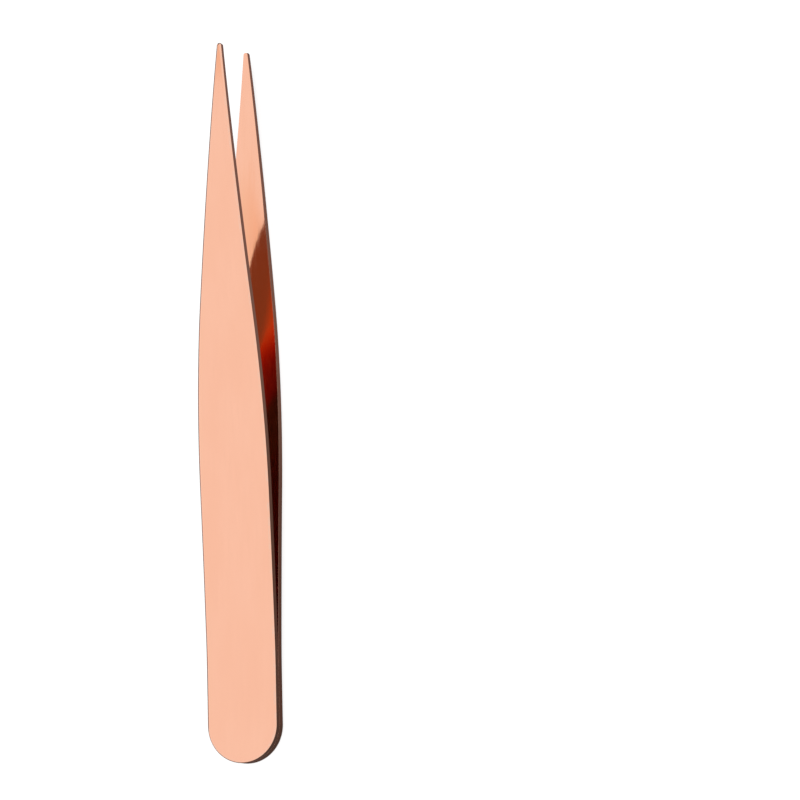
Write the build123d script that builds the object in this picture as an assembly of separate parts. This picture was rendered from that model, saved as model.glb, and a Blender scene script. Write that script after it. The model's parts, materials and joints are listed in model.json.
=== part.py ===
from build123d import *
import os
from math import asin, atan2, cos, degrees, radians, sin, tan

# Pointed tweezers: two bowed leaves stamped from strip, laid back to back and spot-welded at the butt.
# They are drawn with the butt end at Y = 0, the tips along +Y and the middle plane at Z = 0, then laid
# on a table as they come to rest: on the lower leaf's butt edge and belly. Millimetres and degrees.

# ---- outline of a leaf, seen square to its face ----
LENGTH = 95.0  # butt end to tips
WIDTH = 9.95  # across the parallel shank
TIP_WIDTH = 0.7  # across the rounded tip
TAPER_ANGLE = 5.65  # of each straight side towards the tip
SHOULDER_RADIUS = 255.0  # arc that joins the parallel side to the taper

# ---- thickness ----
SHEET = 1.15  # of the strip
TIP_THINNING = 0.65  # extra slope of the inner face, which thins the leaf towards its tip
OUTER_EDGE_RADIUS = 0.3  # the die-rolled and polished rim of the outer face, all round
INNER_EDGE_RADIUS = 0.02  # the inner face's rim, which is only deburred
RIM_REACH = 0.01  # how near a face an edge lies to be part of its rim

# ---- bow of the outer face: (distance from the butt, slope away from the middle plane) ----
# From one station to the next the face is one arc, or straight where the slope stays the same.
BOW = [(0, 0), (12, 0), (16, 2.4), (40, 4.2), (55, 4.2), (85, 0.2), (LENGTH, -2.2)]
THINNING_START = 55.0

# ---- spot welds between the two leaves ----
WELD_STATIONS = (4.6, 9.4)
WELD_DIAMETER = 3.2
WELD_DEPTH = 0.35  # into each leaf

# ---- flexure: each leaf bends about this line, a third of the way from the weld to the fingers ----
FLEX_STATION = 27.0
TIP_CLEARANCE = 0.03  # left between the middle plane and each closed tip


def stations(thinning):
    """The bow's stations, with the extra slope added past the start of the thinning."""
    return [(s, slope + thinning * (s > THINNING_START)) for s, slope in BOW]


def face_at(distance, start_height, thinning=0.0):
    """Height above the middle plane, and slope, of one long face at a distance from the butt."""
    height = start_height
    for (s0, a0), (s1, a1) in zip(stations(thinning), stations(thinning)[1:]):
        end = min(distance, s1)
        share = (end - s0) / (s1 - s0)
        slope = degrees(asin(sin(radians(a0)) * (1 - share) + sin(radians(a1)) * share))
        height += (end - s0) * tan(radians((a0 + slope) / 2))
        if distance <= s1:
            return height, slope
    raise ValueError("past the tip")


def long_face(start_height, thinning=0.0):
    """Edges of one long face seen from the side, from the butt to the tip."""
    edges, here = [], Vector(0, start_height)
    for (s0, a0), (s1, a1) in zip(stations(thinning), stations(thinning)[1:]):
        there = Vector(s1, here.Y + (s1 - s0) * tan(radians((a0 + a1) / 2)))
        start_direction = (cos(radians(a0)), sin(radians(a0)))
        arc = a0 != a1
        edges.append(TangentArc(here, there, tangent=start_direction) if arc else Line(here, there))
        here = there
    return edges


def side_profile():
    """The bowed strip seen from the side, from the inner face at the middle plane to the outer face."""
    outer, inner = long_face(SHEET), long_face(0, TIP_THINNING)
    butt = Line((0, 0), (0, SHEET))
    tip = Line(outer[-1] @ 1, inner[-1] @ 1)
    return make_face([butt, *outer, tip, *inner])


def outline():
    """Half-round butt, parallel sides, long shoulder arcs, straight tapers and a small round tip."""
    taper, half, tip = radians(TAPER_ANGLE), WIDTH / 2, TIP_WIDTH / 2
    tip_side = Vector(tip * cos(taper), LENGTH - tip + tip * sin(taper))
    corner = Vector(half, tip_side.Y - (half - tip_side.X) / tan(taper))
    reach = SHOULDER_RADIUS * tan(taper / 2)
    shoulder = (
        corner - Vector(0, reach),
        corner + Vector(-reach * sin(taper), reach * cos(taper)),
    )
    right = [
        Line((half, half), shoulder[0]),
        TangentArc(*shoulder, tangent=(0, 1)),
        Line(shoulder[1], tip_side),
    ]
    left = [mirror(edge, Plane.YZ) for edge in right]
    butt_round = ThreePointArc((-half, half), (0, 0), (half, half))
    tip_round = ThreePointArc(tip_side, (0, LENGTH), (-tip_side.X, tip_side.Y))
    return make_face([butt_round, *right, tip_round, *left])


def leaf():
    """One whole upper leaf: the bowed strip trimmed to the outline, with its edges rounded."""
    strip = extrude(Plane.YZ * side_profile(), amount=WIDTH, both=True)
    blank = extrude(outline(), amount=WIDTH)
    trimmed = strip & blank
    rounded = fillet(rim(trimmed, SHEET, 0.0), OUTER_EDGE_RADIUS)
    return fillet(rim(rounded, 0.0, TIP_THINNING), INNER_EDGE_RADIUS)


def rim(shape, start_height, thinning):
    """The edges all round one long face."""
    found = []
    for edge in shape.edges():
        middle = edge @ 0.5
        height, _ = face_at(min(middle.Y, LENGTH), start_height, thinning)
        if abs(middle.Z - height) < RIM_REACH:
            found.append(edge)
    return found


def welds():
    """The spot welds' nuggets, half in each leaf."""
    nugget = Cylinder(WELD_DIAMETER / 2, 2 * WELD_DEPTH)
    return [Pos(0, station, 0) * nugget for station in WELD_STATIONS]


# ---- flexure line on the inner face, and how far a leaf turns about it until its tip meets the other ----
flex_height, flex_slope = face_at(FLEX_STATION, 0, TIP_THINNING)
tip_height, _ = face_at(LENGTH, 0, TIP_THINNING)
tip_reach = Vector(LENGTH - FLEX_STATION, tip_height - flex_height)
closed_drop = flex_height - TIP_CLEARANCE
CLOSING_ANGLE = degrees(asin(closed_drop / tip_reach.length) + atan2(tip_reach.Y, tip_reach.X))

# ---- the sub-parts, in the drawing position ----
across_the_arm = Vector(0, 1, 0).rotate(Axis.X, flex_slope)
cut = Plane((0, FLEX_STATION, flex_height), x_dir=(1, 0, 0), z_dir=across_the_arm)
whole = leaf()
upper_heel = split(whole, bisect_by=cut, keep=Keep.BOTTOM)
upper_blade = split(whole, bisect_by=cut, keep=Keep.TOP)
for nugget in welds():
    upper_heel -= nugget

drawn = {
    "upper_arm_heel": upper_heel,
    "lower_arm_heel": mirror(upper_heel, Plane.XY),
    "upper_arm_blade": upper_blade,
    "lower_arm_blade": mirror(upper_blade, Plane.XY),
    "spot_welds": Compound(children=welds()),
}

# ---- laid down: the tilt at which the butt's rounded edge and the belly touch the table together ----
belly = [LENGTH * n / 1000 for n in range(400, 1000)]
REST_TILT = max(degrees(atan2(face_at(s, SHEET)[0] - SHEET, s - OUTER_EDGE_RADIUS)) for s in belly)
tilted = {name: Rot(REST_TILT, 0, 0) * shape for name, shape in drawn.items()}
box = Compound(children=list(tilted.values())).bounding_box()
lay_down = Pos(0, -box.center().Y, -box.min.Z) * Rot(REST_TILT, 0, 0)

os.makedirs("parts", exist_ok=True)
for name, shape in drawn.items():
    export_step(lay_down * shape, f"parts/{name}.step")

for side, sign in (("upper", 1), ("lower", -1)):
    flexure = (lay_down * Pos(0, FLEX_STATION, sign * flex_height)).position
    weld_face = (lay_down * Pos(0, WELD_STATIONS[0], sign * SHEET)).position
    print(f"{side} flexure line through {flexure}, heel face at {weld_face}")
print(f"rest tilt {REST_TILT:.4f}, closing angle {CLOSING_ANGLE:.4f}")
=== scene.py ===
import json
from math import asin, cos, pi, radians, sin, sqrt, tan

import bpy
from mathutils import Matrix, Vector


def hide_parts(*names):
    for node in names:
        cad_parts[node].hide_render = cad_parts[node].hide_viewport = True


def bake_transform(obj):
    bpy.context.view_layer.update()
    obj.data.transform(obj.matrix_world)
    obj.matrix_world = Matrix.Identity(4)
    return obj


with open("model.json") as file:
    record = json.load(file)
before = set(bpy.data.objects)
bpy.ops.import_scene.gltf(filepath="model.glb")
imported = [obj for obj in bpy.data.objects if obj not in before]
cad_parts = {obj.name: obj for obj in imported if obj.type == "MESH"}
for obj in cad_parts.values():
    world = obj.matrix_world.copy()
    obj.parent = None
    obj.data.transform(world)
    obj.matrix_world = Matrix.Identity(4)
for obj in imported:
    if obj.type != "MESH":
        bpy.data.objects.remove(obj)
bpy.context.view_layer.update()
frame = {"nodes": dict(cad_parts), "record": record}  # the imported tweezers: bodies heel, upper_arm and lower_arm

# Pointed tweezers in polished rose gold. Each leaf is drawn as one continuous piece, butt end at s = 0,
# in the drawing's own axes: u across the leaf, s along it, z away from the middle plane, millimetres.
MM = 0.001

# ---- outline of a leaf ----
LENGTH = 95.0
HALF_WIDTH = 4.975
TIP_RADIUS = 0.35
TAPER = radians(5.65)
SHOULDER_RADIUS = 255.0
TIP_SIDE = Vector((TIP_RADIUS * cos(TAPER), LENGTH - TIP_RADIUS + TIP_RADIUS * sin(TAPER)))
SHOULDER_REACH = SHOULDER_RADIUS * tan(TAPER / 2)
SHOULDER_START = TIP_SIDE.y - (HALF_WIDTH - TIP_SIDE.x) / tan(TAPER) - SHOULDER_REACH
SHOULDER_END = Vector(
    (HALF_WIDTH - SHOULDER_REACH * sin(TAPER), SHOULDER_START + SHOULDER_RADIUS * sin(TAPER))
)

# ---- thickness, and bow of the outer face: (distance from the butt, slope in degrees) ----
SHEET = 1.15
BOW = [(0, 0), (12, 0), (16, 2.4), (40, 4.2), (55, 4.2), (85, 0.2), (LENGTH, -2.2)]
THINNING_START, THINNING = 55.0, 0.65  # where the inner face starts to slope more, and by how much
OUTER_EDGE_RADIUS, INNER_EDGE_RADIUS = 0.3, 0.01
WALL_LEAN = 0.06  # how much further in the stamped wall stands at the inner face
FIRST_WELD = 4.6  # from the butt: the mount on the heel lies above it

# ---- the stamped leaf is very slightly hollow across its inner face ----
DISH = 0.125  # depth that it grows to in the middle of a wide leaf
DISH_START, DISH_FULL = 16.0, 68.0  # it deepens from the flat heel towards the point
DISH_FADE = 0.7  # half-width at which the narrowing leaf keeps half of it

# ---- how finely the leaf is meshed ----
EDGE_STEPS = 7  # round each edge
SUPPORT = 0.04  # width of the flat band that keeps a rounded edge's shading off the faces
ROUND_STEPS = 30  # in the butt's quarter circle
TIP_STEPS = 10  # in the tip's
ALONG = 0.7  # from one station to the next
ACROSS = 8  # columns in half of the hollow inner face

# ---- the plating: colours, and how fine its marks are across, along and through a leaf, per mm ----
GOLD, DEEPER_GOLD = (0.962, 0.524, 0.370, 1), (0.950, 0.507, 0.352, 1)
GOLD_IN_LINES = (0.93, 0.485, 0.335, 1)
RUBBED_GOLD = (0.80, 0.62, 0.52, 1)
LINES, CLOUDS, SCUFFS = (4.0, 0.12, 4.0), (0.25, 0.09, 0.25), (1.6, 1.1, 1.6)
LINE_RELIEF = 2.5e-7  # metres

# ---- the weld ----
WELD, DARKER_WELD, HEAT_TINT = (0.60, 0.58, 0.56, 1), (0.50, 0.48, 0.46, 1), (0.52, 0.42, 0.30, 1)
WELD_GRAINS, WELD_PATCHES = 4000.0, 900.0  # per metre
WELD_RELIEF = 2e-5  # metres

# ---- the floor ----
FLOOR_REACH = 3.0  # metres, each way
FLOOR_TONES = (0.25, 0.25, 0.25, 1), (0.24, 0.24, 0.24, 1)
FLOOR_FIBRES = 500.0  # per metre
FLOOR_GLOW = 0.78

# ---- the studio, by how far a direction leans across the tweezers, along them and up ----
# Each soft edge is where it starts and where it ends, and each blend is its places and colours.
WHITE = (1, 1, 1, 1)
HORIZON = -0.12, 0.0  # up: from the room to the tent
LEFT_SIDE = -0.24, -0.08  # across: the near side of the card in the tent and the screen in the room
CARD_SIDE = -0.62, -0.54  # across: the far side of the warm card
CARD_START = 0.195, 0.218  # along: where the card starts, with its pale part
CARD_FOLD = 0.36, 0.42  # along: where its pale part gives way to its deep part
PALE_CARD_ACROSS = -0.48, -0.38  # across: from its left colour to its right one
PALE_CARD_LEFT, PALE_CARD_RIGHT = (0.955, 0.775, 0.63, 1), (0.958, 0.85, 0.73, 1)
DEEP_CARD_SLANT = -0.3  # how much of the lean across is added to the one along
DEEP_CARD = (
    (0.565, (0.58, 0.205, 0.065)),
    (0.585, (0.41, 0.065, 0.010)),
    (0.598, (0.31, 0.018, 0.007)),
    (0.609, (0.195, 0.006, 0.005)),
    (0.6135, (0.125, 0.004, 0.004)),
    (0.617, (0.072, 0.004, 0.004)),
    (0.631, (0.052, 0.005, 0.004)),
    (0.645, (0.042, 0.006, 0.005)),
    (0.665, (0.020, 0.010, 0.012)),
    (0.690, (0.016, 0.018, 0.028)),
)
FLAG = (0.13, 0.12, 0.12, 1)  # dark, low on the left, beside the tweezers
FLAG_SIDE = -0.92, -0.86  # across
FLAG_TOP = 0.35, 0.50  # up
FLAG_START = -0.05, 0.06  # along
SCREEN_SIDE = -0.80, -0.65  # across: the far side of the screen
SCREEN = (
    (0.18, (0.093, 0.073, 0.070)),
    (0.28, (0.222, 0.115, 0.064)),
    (0.36, (0.222, 0.115, 0.064)),
    (0.50, (0.050, 0.040, 0.030)),
    (0.57, (0.021, 0.032, 0.034)),
)
GLOW = (0.45, 0.13, 0.035, 1)  # red light on the screen
GLOW_START = 0.808, 0.828  # along, less across
GLOW_END = 0.40, 0.48  # along
ROOM = (
    (0.00, (0.075, 0.068, 0.066)),
    (0.085, (0.093, 0.073, 0.070)),
    (0.155, (0.150, 0.128, 0.125)),
    (0.200, (0.178, 0.145, 0.145)),
)
LAMP_SIZE, LAMP_HEIGHT, LAMP_POWER = 2.5, 1.8, 30  # metres, metres, watts

# ---- the camera, from the tweezers: turned about their length, tipped towards the butt, rolled ----
VIEW_TURN, VIEW_TIP, VIEW_ROLL = radians(22.957), radians(6.757), radians(-1.203)
VIEW_DISTANCE = 0.8
VIEW_LENS = 273.0
LEFT_OF_MIDDLE, BELOW_MIDDLE = 0.02114, 0.00042  # metres from the picture's middle to the tweezers'


# ---------------------------------------------------------------- shape

def face_height(station, start, thinning):
    """Height above the middle plane of one long face, made of arcs that are tangent at the BOW stations."""
    height = start
    for (s0, a0), (s1, a1) in zip(BOW, BOW[1:]):
        a0, a1 = (radians(a + thinning * (s > THINNING_START)) for s, a in ((s0, a0), (s1, a1)))
        end = min(station, s1)
        share = (end - s0) / (s1 - s0)
        slope = asin(sin(a0) * (1 - share) + sin(a1) * share)
        height += (end - s0) * tan((a0 + slope) / 2)
        if station <= s1:
            break
    return height


def half_width(station):
    """Half of the leaf's width, past its half-round butt."""
    if station < SHOULDER_START:
        return HALF_WIDTH
    if station < SHOULDER_END.y:
        return HALF_WIDTH - SHOULDER_RADIUS + sqrt(SHOULDER_RADIUS**2 - (station - SHOULDER_START) ** 2)
    if station < TIP_SIDE.y:
        return TIP_SIDE.x + (TIP_SIDE.y - station) * tan(TAPER)
    return sqrt(max(0.0, TIP_RADIUS**2 - (station - LENGTH + TIP_RADIUS) ** 2))


def outer(u, station):
    """Height of the outer face, which is flat across."""
    return face_height(station, SHEET, 0.0)


def inner(u, station):
    """Height of the inner face, which is hollow between its two edges."""
    grown = min(1.0, max(0.0, (station - DISH_START) / (DISH_FULL - DISH_START)))
    wide = half_width(station) ** 2
    hollow = DISH * grown * max(0.0, wide - u * u) / (wide + DISH_FADE**2)
    return face_height(station, 0.0, THINNING) + hollow


def steps(start, end, count):
    """Evenly spaced values from the start up to, but not with, the end."""
    return [start + (end - start) * n / count for n in range(count)]


def half_outline():
    """(u, s, normal's u, normal's s) down one side, from the middle of the butt to the point of the tip."""
    points = []
    for a in steps(-pi / 2, 0, ROUND_STEPS):
        points.append((HALF_WIDTH * cos(a), HALF_WIDTH * (1 + sin(a)), cos(a), sin(a)))
    for s in steps(HALF_WIDTH, SHOULDER_START, round((SHOULDER_START - HALF_WIDTH) / ALONG)):
        points.append((HALF_WIDTH, s, 1, 0))
    for a in steps(0, TAPER, round(SHOULDER_RADIUS * TAPER / ALONG)):
        u = HALF_WIDTH - SHOULDER_RADIUS * (1 - cos(a))
        points.append((u, SHOULDER_START + SHOULDER_RADIUS * sin(a), cos(a), sin(a)))
    for share in steps(0, 1, round((TIP_SIDE - SHOULDER_END).length / ALONG)):
        at = SHOULDER_END.lerp(TIP_SIDE, share)
        points.append((at.x, at.y, cos(TAPER), sin(TAPER)))
    for a in steps(TAPER, pi / 2, TIP_STEPS):
        points.append((TIP_RADIUS * cos(a), LENGTH + TIP_RADIUS * (sin(a) - 1), cos(a), sin(a)))
    points.append((0, LENGTH, 0, 1))
    return points


def rounding(radius):
    """(inset from the wall, depth below the face, 1 on the round) of the rings that round one edge."""
    quarter = [pi / 2 * n / EDGE_STEPS for n in range(EDGE_STEPS + 1)]
    rings = [(radius * (1 - sin(a)), radius * (1 - cos(a)), 1.0) for a in quarter]
    band = radius + SUPPORT
    return [(band, 0.0, 0.0), *rings, (0.0, band, 0.0)]


def edge_rings():
    """(inset from the outline, face, height above that face, how rubbed) of each ring round the rim.

    They go down the outer edge, then over the leaning wall to the inner edge, which isn't rubbed.
    """
    down = [(inset, outer, -depth, rubbed) for inset, depth, rubbed in rounding(OUTER_EDGE_RADIUS)]
    up = [(WALL_LEAN + inset, inner, depth, 0.0) for inset, depth, _ in rounding(INNER_EDGE_RADIUS)]
    return down + up[::-1]


def leaf(name, side):
    """One leaf as a closed mesh: rings round the rim, then strips across the outer and the inner face."""
    right = half_outline()
    left = [(-u, s, -nu, ns) for u, s, nu, ns in reversed(right[1:-1])]
    loop = right + left
    n, last = len(loop), len(right) - 1
    points, edge = [], []
    rings = edge_rings()
    for inset, face, rise, rubbed in rings:
        for u, s, nu, ns in loop:
            u, s = u - inset * nu, s - inset * ns
            points.append((u, s, face(u, s) + rise))
            edge.append(rubbed)
    faces = []
    for k in range(len(rings) - 1):
        for i in range(n):
            j = (i + 1) % n
            faces.append((k * n + i, (k + 1) * n + i, (k + 1) * n + j, k * n + j))

    outer_rows = [[0], *([i, n - i] for i in range(1, last)), [last]]
    base = (len(rings) - 1) * n
    inner_rows = [[base]]
    for i in range(1, last):
        u, s, _ = points[base + i]
        row = [base + i]
        for share in steps(1, -1, 2 * ACROSS)[1:]:
            row.append(len(points))
            points.append((u * share, s, inner(u * share, s)))
            edge.append(0.0)
        inner_rows.append(row + [base + n - i])
    inner_rows.append([base + last])
    faces += strips(outer_rows)
    faces += [tuple(reversed(f)) for f in strips(inner_rows)]
    return new_piece(name, side, points, faces, edge)


def strips(rows):
    """Quads between neighbouring rows of point numbers, and triangles where a row is a single point."""
    faces = []
    for near, far in zip(rows, rows[1:]):
        for k in range(max(len(near), len(far)) - 1):
            a, b = near[min(k, len(near) - 1)], near[min(k + 1, len(near) - 1)]
            c, d = far[min(k, len(far) - 1)], far[min(k + 1, len(far) - 1)]
            faces.append(tuple(dict.fromkeys((a, c, d, b))))
    return faces


def new_piece(name, side, points, faces, edge):
    """Turns a drawn leaf, or its mirror image below the middle plane, into a mesh that lies in place."""
    drawn = [(u, s, side * z) for u, s, z in points]
    if side < 0:
        faces = [tuple(reversed(f)) for f in faces]
    mesh = bpy.data.meshes.new(name)
    mesh.from_pydata([placed @ (Vector(p) * MM) for p in drawn], [], faces)
    flat = [x for p in drawn for x in p]
    mesh.attributes.new("drawn_mm", "FLOAT_VECTOR", "POINT").data.foreach_set("vector", flat)
    mesh.attributes.new("edge", "FLOAT", "POINT").data.foreach_set("value", edge)
    mesh.polygons.foreach_set("use_smooth", [True] * len(mesh.polygons))
    mesh.update()
    return linked(name, mesh)


def linked(name, data):
    """A new object in the scene."""
    piece = bpy.data.objects.new(name, data)
    bpy.context.scene.collection.objects.link(piece)
    return piece


def lie_of_the_tweezers():
    """The drawing's axes in the row frame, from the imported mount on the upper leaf's flat heel."""
    mount = next(m for m in frame["record"]["mounts"] if m["name"] == "heel_upper_face")
    up = Vector(mount["axis"]).normalized()
    along = Vector((0, up.z, -up.y))
    butt = Vector(mount["pos_m"]) - along * FIRST_WELD * MM - up * SHEET * MM
    axes = Matrix((along.cross(up), along, up)).transposed().to_4x4()
    return Matrix.Translation(butt) @ axes


placed = lie_of_the_tweezers()


# ---------------------------------------------------------------- materials

class Nodes:
    """Adds nodes to one material or world, and links them."""

    def __init__(self, owner):
        owner.use_nodes = True
        self.nodes, self.links = owner.node_tree.nodes, owner.node_tree.links

    def put(self, socket, value):
        if isinstance(value, bpy.types.NodeSocket):
            self.links.new(value, socket)
        else:
            socket.default_value = value

    def math(self, operation, *values):
        node = self.nodes.new("ShaderNodeMath")
        node.operation = operation
        for socket, value in zip(node.inputs, values):
            self.put(socket, value)
        return node.outputs[0]

    def product(self, first, *others):
        for other in others:
            first = self.math("MULTIPLY", first, other)
        return first

    def attribute(self, name, output):
        node = self.nodes.new("ShaderNodeAttribute")
        node.attribute_name = name
        return node.outputs[output]

    def scaled(self, vector, scale):
        node = self.nodes.new("ShaderNodeVectorMath")
        node.operation = "MULTIPLY"
        self.put(node.inputs[0], vector)
        node.inputs[1].default_value = scale
        return node.outputs[0]

    def dot(self, vector, axis):
        node = self.nodes.new("ShaderNodeVectorMath")
        node.operation = "DOT_PRODUCT"
        self.put(node.inputs[0], vector)
        node.inputs[1].default_value = axis
        return node.outputs["Value"]

    def noise(self, vector, scale, detail=2.0, roughness=0.5):
        node = self.nodes.new("ShaderNodeTexNoise")
        self.put(node.inputs["Vector"], vector)
        node.inputs["Scale"].default_value = scale
        node.inputs["Detail"].default_value = detail
        node.inputs["Roughness"].default_value = roughness
        return node.outputs["Fac"]

    def between(self, value, low, high, to_low=0.0, to_high=1.0):
        """Maps low..high to to_low..to_high, smoothly, and holds the ends."""
        node = self.nodes.new("ShaderNodeMapRange")
        node.interpolation_type = "SMOOTHSTEP"
        names = ("Value", "From Min", "From Max", "To Min", "To Max")
        for name, entry in zip(names, (value, low, high, to_low, to_high)):
            self.put(node.inputs[name], entry)
        return node.outputs["Result"]

    def past(self, value, soft_edge):
        return self.between(value, *soft_edge)

    def short_of(self, value, soft_edge):
        return self.between(value, *soft_edge, 1.0, 0.0)

    def mix(self, share, first, second):
        node = self.nodes.new("ShaderNodeMix")
        node.data_type = "RGBA"
        self.put(node.inputs["Factor"], share)
        self.put(node.inputs["A"], first)
        self.put(node.inputs["B"], second)
        return node.outputs["Result"]

    def ramp(self, value, stops):
        node = self.nodes.new("ShaderNodeValToRGB")
        self.put(node.inputs["Fac"], value)
        entries = node.color_ramp.elements
        while len(entries) < len(stops):
            entries.new(1.0)
        for entry, (position, colour) in zip(entries, stops):
            entry.position, entry.color = position, (*colour, 1)
        return node.outputs["Color"]

    def bump(self, height, distance):
        node = self.nodes.new("ShaderNodeBump")
        self.put(node.inputs["Height"], height)
        node.inputs["Distance"].default_value = distance
        return node.outputs["Normal"]


def rose_gold():
    """Polished plating: faint lines along the leaf, cloudy tone, outer edges rubbed paler and duller."""
    material = bpy.data.materials.new("polished_rose_gold")
    tree = Nodes(material)
    shader = tree.nodes["Principled BSDF"]
    place, edge = tree.attribute("drawn_mm", "Vector"), tree.attribute("edge", "Fac")

    lines = tree.noise(tree.scaled(place, LINES), 1.0, 4.0, 0.6)
    clouds = tree.noise(tree.scaled(place, CLOUDS), 1.0, 2.0)
    scuffs = tree.noise(tree.scaled(place, SCUFFS), 1.0, 5.0, 0.7)

    tone = tree.mix(tree.between(clouds, 0.3, 0.7), GOLD, DEEPER_GOLD)
    tone = tree.mix(tree.between(lines, 0.40, 0.75, 0.0, 0.25), tone, GOLD_IN_LINES)
    rubbed = tree.product(edge, tree.between(scuffs, 0.45, 0.65, 0.05, 0.35))
    tone = tree.mix(rubbed, tone, RUBBED_GOLD)
    tree.put(shader.inputs["Base Color"], tone)
    shader.inputs["Metallic"].default_value = 1.0

    dullness = tree.between(lines, 0.3, 0.75, 0.045, 0.10)
    dullness = tree.math("ADD", dullness, tree.between(scuffs, 0.5, 0.75, 0.0, 0.03))
    dullness = tree.math("ADD", dullness, tree.product(rubbed, 0.25))
    tree.put(shader.inputs["Roughness"], dullness)

    relief = tree.math("ADD", lines, tree.product(scuffs, 0.4))
    tree.put(shader.inputs["Normal"], tree.bump(relief, LINE_RELIEF))
    return material


def weld_steel():
    """Bare fused steel: mottled, with heat-tinted patches and a coarse skin."""
    material = bpy.data.materials.new("fused_weld_steel")
    tree = Nodes(material)
    shader = tree.nodes["Principled BSDF"]
    place = tree.nodes.new("ShaderNodeTexCoord").outputs["Object"]
    grains = tree.noise(place, WELD_GRAINS, 4.0, 0.6)
    patches = tree.noise(place, WELD_PATCHES, 2.0)
    tone = tree.mix(tree.between(grains, 0.35, 0.65), WELD, DARKER_WELD)
    tone = tree.mix(tree.between(patches, 0.5, 0.7, 0.0, 0.5), tone, HEAT_TINT)
    tree.put(shader.inputs["Base Color"], tone)
    shader.inputs["Metallic"].default_value = 1.0
    tree.put(shader.inputs["Roughness"], tree.between(grains, 0.3, 0.7, 0.38, 0.55))
    tree.put(shader.inputs["Normal"], tree.bump(grains, WELD_RELIEF))
    return material


def pale_floor():
    """Opal board that is lit from behind as well as from above, so that little shadow is left on it."""
    material = bpy.data.materials.new("pale_floor")
    tree = Nodes(material)
    shader = tree.nodes["Principled BSDF"]
    place = tree.nodes.new("ShaderNodeTexCoord").outputs["Object"]
    fibres = tree.noise(place, FLOOR_FIBRES, 4.0, 0.6)
    tree.put(shader.inputs["Base Color"], tree.mix(tree.between(fibres, 0.35, 0.65), *FLOOR_TONES))
    tree.put(shader.inputs["Roughness"], tree.between(fibres, 0.3, 0.7, 0.85, 0.95))
    shader.inputs["Specular IOR Level"].default_value = 0.0
    shader.inputs["Emission Color"].default_value = WHITE
    shader.inputs["Emission Strength"].default_value = FLOOR_GLOW
    return material


# ---------------------------------------------------------------- pieces

gold = rose_gold()
for side, name in ((1, "upper_arm"), (-1, "lower_arm")):
    arm = leaf(f"{name}_leaf", side)
    arm.data.materials.append(gold)
    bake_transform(arm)
    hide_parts(f"{name}_heel", f"{name}_blade")
welds = frame["nodes"]["spot_welds"]
welds.data.materials.clear()
welds.data.materials.append(weld_steel())


# ---------------------------------------------------------------- studio

def floor():
    """A wide board under the tweezers, which the metal doesn't mirror."""
    mesh = bpy.data.meshes.new("floor")
    corners = [(x * FLOOR_REACH, y * FLOOR_REACH, 0) for x, y in ((-1, -1), (1, -1), (1, 1), (-1, 1))]
    mesh.from_pydata(corners, [], [(0, 1, 2, 3)])
    mesh.materials.append(pale_floor())
    piece = linked("floor", mesh)
    piece.visible_glossy = False


def tent(tree, across, along, up, on_the_left):
    """White overhead, with a card on the left that deepens past the tips, and a dark flag low down."""
    pale_card = tree.mix(tree.past(across, PALE_CARD_ACROSS), PALE_CARD_LEFT, PALE_CARD_RIGHT)
    near_card = tree.mix(tree.past(along, CARD_START), WHITE, pale_card)
    deep_card = tree.ramp(tree.math("MULTIPLY_ADD", across, DEEP_CARD_SLANT, along), DEEP_CARD)
    card = tree.mix(tree.past(along, CARD_FOLD), near_card, deep_card)
    in_card = tree.product(tree.past(across, CARD_SIDE), on_the_left)
    in_flag = tree.product(
        tree.short_of(across, FLAG_SIDE), tree.short_of(up, FLAG_TOP), tree.past(along, FLAG_START)
    )
    return tree.mix(in_flag, tree.mix(in_card, WHITE, card), FLAG)


def room(tree, across, along, on_the_left):
    """Dim and warm below the tent, with a screen on the left that has red light on it."""
    slanting = tree.math("SUBTRACT", along, across)
    in_glow = tree.product(tree.past(slanting, GLOW_START), tree.short_of(along, GLOW_END))
    screen = tree.mix(in_glow, tree.ramp(along, SCREEN), GLOW)
    in_screen = tree.product(tree.past(across, SCREEN_SIDE), on_the_left)
    return tree.mix(in_screen, tree.ramp(along, ROOM), screen)


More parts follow.
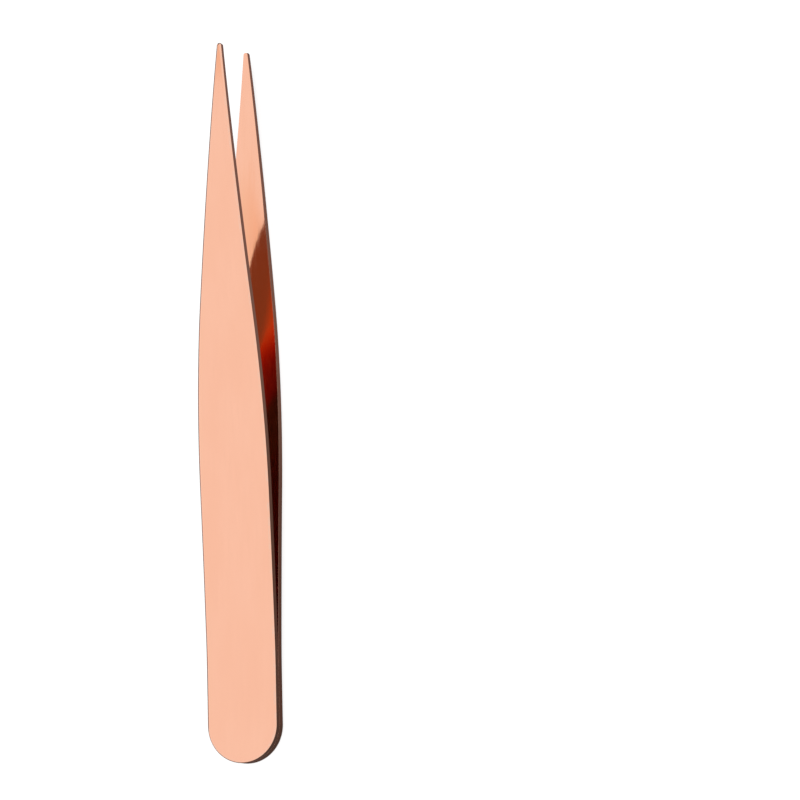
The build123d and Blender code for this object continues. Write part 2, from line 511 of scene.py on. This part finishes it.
def studio_world():
    """What the metal mirrors, the tent above and the room below. To the camera it is plain white."""
    world = bpy.data.worlds.new("studio")
    bpy.context.scene.world = world
    tree = Nodes(world)
    direction = tree.nodes.new("ShaderNodeTexCoord").outputs["Generated"]
    axes = placed.to_3x3()
    across, along, up = (tree.dot(direction, axes.col[k]) for k in range(3))
    on_the_left = tree.short_of(across, LEFT_SIDE)
    above = tent(tree, across, along, up, on_the_left)
    below = room(tree, across, along, on_the_left)
    seen = tree.mix(tree.past(up, HORIZON), below, above)
    to_camera = tree.nodes.new("ShaderNodeLightPath").outputs["Is Camera Ray"]
    background = tree.nodes["Background"]
    tree.put(background.inputs["Color"], tree.mix(to_camera, seen, WHITE))
    background.inputs["Strength"].default_value = 1.0


def overhead_light():
    """A faint, wide softbox over the floor, which the metal doesn't mirror."""
    lamp = bpy.data.lights.new("overhead", "AREA")
    lamp.size = LAMP_SIZE
    lamp.energy = LAMP_POWER
    piece = linked("overhead", lamp)
    piece.location = (0, 0, LAMP_HEIGHT)
    piece.visible_glossy = False


def camera():
    """Looks down at the tweezers from their right, with a long lens. They stand left of the middle."""
    side_on = Vector((cos(VIEW_TURN), 0, -sin(VIEW_TURN)))
    facing = Vector((sin(VIEW_TURN), 0, cos(VIEW_TURN)))
    upright = Vector((0, cos(VIEW_TIP), 0)) + sin(VIEW_TIP) * facing
    back = cos(VIEW_TIP) * facing - Vector((0, sin(VIEW_TIP), 0))
    right = cos(VIEW_ROLL) * side_on + sin(VIEW_ROLL) * upright
    up = cos(VIEW_ROLL) * upright - sin(VIEW_ROLL) * side_on
    middle = Vector((0, LENGTH / 2, 0)) * MM
    eye = middle + right * LEFT_OF_MIDDLE + up * BELOW_MIDDLE + back * VIEW_DISTANCE
    lens = bpy.data.cameras.new("camera")
    lens.lens = VIEW_LENS
    lens.clip_start, lens.clip_end = 0.01, 20.0
    piece = linked("camera", lens)
    axes = Matrix((right, up, back)).transposed().to_4x4()
    piece.matrix_world = placed @ Matrix.Translation(eye) @ axes
    bpy.context.scene.camera = piece


floor()
studio_world()
overhead_light()
camera()
scene = bpy.context.scene
scene.view_settings.view_transform = "Standard"
scene.cycles.glossy_bounces = 16  # light goes to and fro between the leaves
scene.cycles.max_bounces = 20
